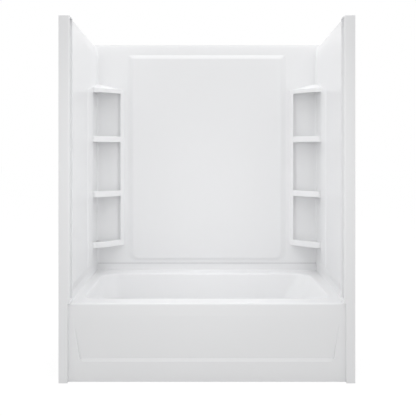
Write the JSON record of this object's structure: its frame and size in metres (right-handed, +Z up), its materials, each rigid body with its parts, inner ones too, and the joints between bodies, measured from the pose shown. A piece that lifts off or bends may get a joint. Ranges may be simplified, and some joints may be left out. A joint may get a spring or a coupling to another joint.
{
  "type": "alcove bathtub with wall surround",
  "caption": "White moulded alcove bath with integral apron, three-piece wall surround, corner shelf towers and a toe-touch waste.",
  "frame": {"origin": "on the floor, in the middle of the alcove: the centre of the bottom of the bounding box", "axes": "+Z up, +X to the right as the bather's helper stands in front of the apron, +Y from the apron to the back wall"},
  "size_m": [1.524, 0.762, 1.894],
  "materials": {
    "moulded_white": "smooth glossy moulded skin, solid colour through the wall",
    "polished_chrome": "polished plate",
    "brass": "turned, unplated",
    "black_rubber": "matt",
    "black_pipe": "moulded pipe and fittings",
    "white_foam": "expanded bead foam",
    "spring_steel": "zinc-plated spring strip",
    "grey_foam_tape": "closed-cell foam strip"
  },
  "bodies": {
    "bath": {"tub_shell": "moulded_white", "back_wall_panel": "moulded_white", "left_end_wall_panel": "moulded_white", "right_end_wall_panel": "moulded_white", "left_shelf_tower": "moulded_white", "right_shelf_tower": "moulded_white", "left_corner_clips": "spring_steel", "right_corner_clips": "spring_steel", "support_pad": "white_foam", "drain_strainer": "polished_chrome", "stopper_post": "brass", "drain_gasket": "black_rubber", "drain_shoe": "black_pipe", "drain_pipe": "black_pipe", "waste_tee": "black_pipe", "outlet_pipe": "black_pipe", "overflow_pipe": "black_pipe", "overflow_elbow": "black_pipe", "overflow_gasket": "black_rubber", "overflow_plate": "polished_chrome", "overflow_screws": "polished_chrome", "slip_nuts": "black_pipe", "slip_washers": "black_rubber", "back_wall_seal": "grey_foam_tape", "left_end_seal": "grey_foam_tape", "right_end_seal": "grey_foam_tape"},
    "stopper": {"stopper_cap": "polished_chrome", "stopper_seal": "black_rubber"}
  },
  "joints": [
    {"name": "stopper_lift", "type": "slide", "parent": "bath", "child": "stopper", "axis": [0, 0, 1], "range_m": [0, 0.009]}
  ]
}
